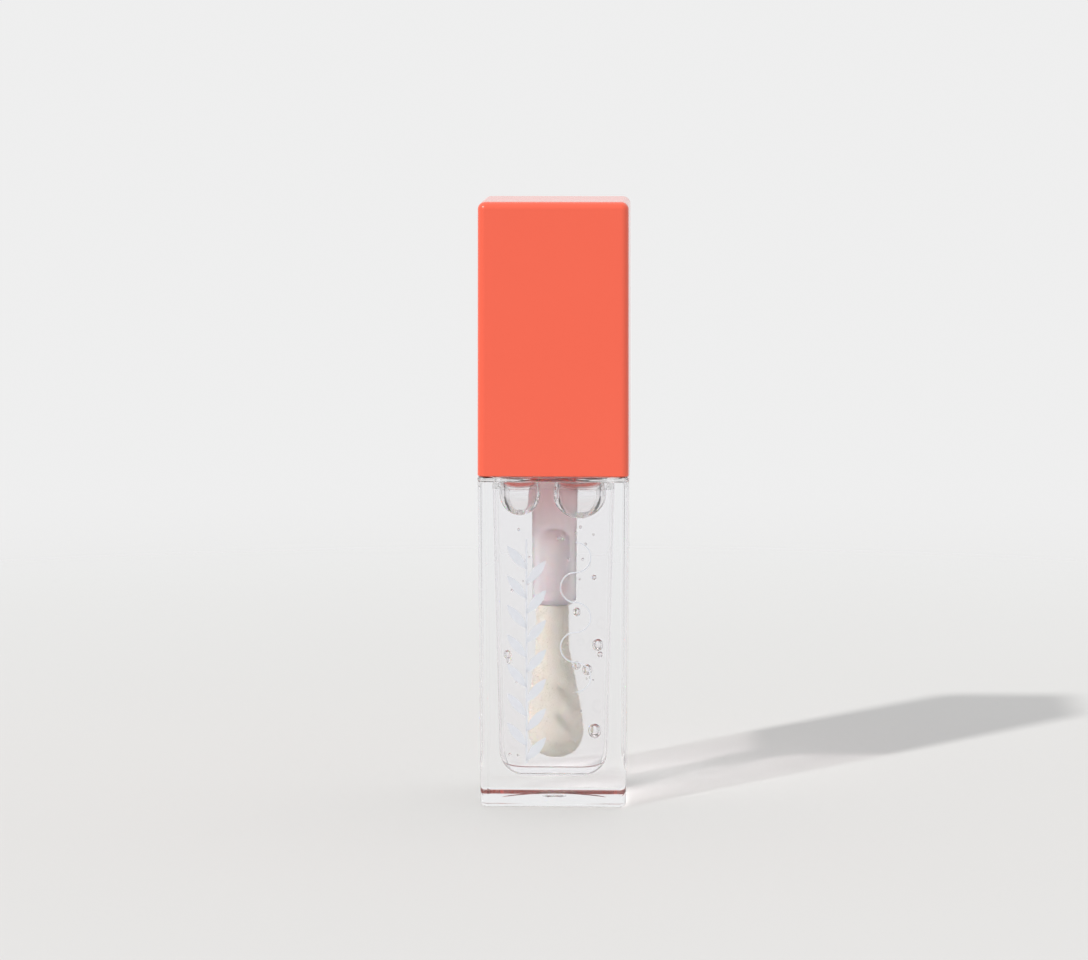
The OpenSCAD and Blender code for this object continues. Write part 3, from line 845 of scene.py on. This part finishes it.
def make_cap():
    bm = bmesh.new()
    low, high = cap_low.z, cap_high.z
    draft = 0.08 * MM
    top_half = tube_half - draft
    crown = 1.0 * MM
    bore = tube_half - 1.3 * MM
    ceiling = high - 1.6 * MM
    post_r, post_z = 3.7 * MM, stem_high.z + slip
    post_hole_r = post_r - 1.3 * MM
    crown_arc = arc(top_half - crown, high - crown, crown, 88, 0, 9)
    small = 0.12 * MM
    sections = [(half, edge_r - (top_half - half) * 0.9, z) for half, z in crown_arc]
    sections += [(tube_half, edge_r, low + small), (tube_half - small, edge_r, low),
                 (bore + 0.2 * MM, 0.6 * MM, low), (bore, 0.5 * MM, low + 0.2 * MM),
                 (bore, 0.5 * MM, ceiling), (post_r + 0.3 * MM, ceiling),
                 (post_r, ceiling - 0.3 * MM), (post_r, post_z), (post_hole_r, post_z),
                 (post_hole_r, ceiling)]
    skin(bm, sections, close_first=True, close_last=True)
    return finish_piece("coral_cap", bm, [coral_plastic], "cap", ["cap_shell"])


def make_inner_cap():
    bm = bmesh.new()
    half, low, high = inner_high.x, inner_low.z, inner_high.z
    roof = seal_high.z + slip
    roof_top = roof + 1.4 * MM
    plate = 1.2 * MM
    skirt_r, boss_r, hole_r = nut_r + 1.0 * MM, 4.23 * MM, stem_r + 0.03 * MM
    boss_outer = boss_r + 1.4 * MM
    small = 0.1 * MM
    sections = [
        (nut_r + 0.25 * MM, low), (half - small, 0.6 * MM, low), (half, 0.6 * MM, low + small),
        (half, 0.6 * MM, low + plate), (skirt_r, low + plate), (skirt_r, roof_top - plate),
        (half, 0.6 * MM, roof_top - plate), (half, 0.6 * MM, roof_top),
        (boss_outer, roof_top), (boss_outer, high), (boss_r, high),
        (boss_r, roof_top), (hole_r, roof_top), (hole_r, roof),
        (nut_r, roof), (nut_r, low + 0.25 * MM)]
    skin(bm, sections, ring=True)
    thread(bm, nut_r + 0.05 * MM, nut_r - ridge, thread_z - pitch / 2, 1.0, math.radians(20))
    return finish_piece("coral_nut", bm, [coral_inner_painted_glow], "cap", ["inner_cap"])


# ---------------------------------------------------------------- the studio


def make_floor():
    """A pale table top that fades into the surroundings far behind the tube."""
    bm = bmesh.new()
    bmesh.ops.create_circle(bm, cap_ends=True, segments=96, radius=2.0,
                            matrix=Matrix.Translation((0, 0, -0.03 * MM)))
    mesh = bpy.data.meshes.new("studio_floor")
    bm.to_mesh(mesh)
    bm.free()
    floor = bpy.data.objects.new("studio_floor", mesh)
    bpy.context.scene.collection.objects.link(floor)
    finish = (Finish("pale studio floor").plain(IOR=1.3, Roughness=0.8)
              .cloudy((0.715, 0.715, 0.71), (0.735, 0.735, 0.73), 8.0))
    nodes, links = finish.tree.nodes, finish.tree.links
    coords = nodes.new("ShaderNodeTexCoord")
    length = nodes.new("ShaderNodeVectorMath")
    length.operation = "LENGTH"
    links.new(coords.outputs["Object"], length.inputs[0])
    fade = nodes.new("ShaderNodeMapRange")
    fade.interpolation_type = "SMOOTHERSTEP"
    for label, value in (("From Min", 0.04), ("From Max", 0.42), ("To Min", 1.0), ("To Max", 0.0)):
        fade.inputs[label].default_value = value
    links.new(length.outputs["Value"], fade.inputs["Value"])
    links.new(fade.outputs["Result"], finish.shader.inputs["Alpha"])
    mesh.materials.append(finish.material)


def make_world():
    """Soft pale surroundings, brighter behind the tube than in front of it."""
    world = bpy.data.worlds.new("studio")
    bpy.context.scene.world = world
    world.use_nodes = True
    tree = world.node_tree
    sky = tree.nodes["Background"]
    coords = tree.nodes.new("ShaderNodeTexCoord")
    split = tree.nodes.new("ShaderNodeSeparateXYZ")
    tree.links.new(coords.outputs["Generated"], split.inputs[0])
    ramp = tree.nodes.new("ShaderNodeMapRange")
    ramp.interpolation_type = "SMOOTHSTEP"
    for label, value in (("From Min", -0.9), ("From Max", 0.4), ("To Min", 0.55), ("To Max", 0.86)):
        ramp.inputs[label].default_value = value
    tree.links.new(split.outputs["Y"], ramp.inputs["Value"])
    sides = tree.nodes.new("ShaderNodeMapRange")
    sides.interpolation_type = "SMOOTHSTEP"
    for label, value in (("From Min", 0.5), ("From Max", 1.0), ("To Min", 1.0), ("To Max", 0.72)):
        sides.inputs[label].default_value = value
    tree.links.new(maths(tree, "ABSOLUTE", split.outputs["X"], 0.0), sides.inputs["Value"])
    shade = maths(tree, "MULTIPLY", ramp.outputs["Result"], sides.outputs["Result"])
    tree.links.new(shade, sky.inputs["Color"])


def make_key_lamp():
    """A hard key from the left of the camera, so that the shadow falls back to the right."""
    towards = Vector((-68, -78, 80.5)).normalized()
    lamp = bpy.data.lights.new("key", "SUN")
    lamp.angle = math.radians(2.6)
    lamp.energy = 1.95
    lamp.color = (1.0, 0.985, 0.96)
    holder = bpy.data.objects.new("key", lamp)
    bpy.context.scene.collection.objects.link(holder)
    holder.location = towards * 2.0
    holder.rotation_euler = towards.to_track_quat("Z", "Y").to_euler()
    holder.visible_transmission = False


def make_camera():
    data = bpy.data.cameras.new("camera")
    data.sensor_width = 36.0
    data.lens = 138.9
    data.clip_start, data.clip_end = 0.01, 30.0
    camera = bpy.data.objects.new("camera", data)
    bpy.context.scene.collection.objects.link(camera)
    camera.location = (16.6 * MM, -560 * MM, 104 * MM)
    aim = Vector((-1.5 * MM, 0, 42.8 * MM))
    camera.rotation_euler = (aim - camera.location).to_track_quat("-Z", "Y").to_euler()
    bpy.context.scene.camera = camera


make_camera()
make_world()
make_floor()
make_key_lamp()
make_bottle()
make_neck()
make_gloss()
make_print()
make_wiper()
make_seal()
make_stem()
make_core()
make_flock_coat()
make_cap()
make_inner_cap()

scene = bpy.context.scene
scene.view_settings.view_transform = "Standard"
scene.cycles.max_bounces = 24
scene.cycles.transmission_bounces = 20
scene.cycles.transparent_max_bounces = 24
scene.cycles.glossy_bounces = 8
scene.cycles.diffuse_bounces = 4
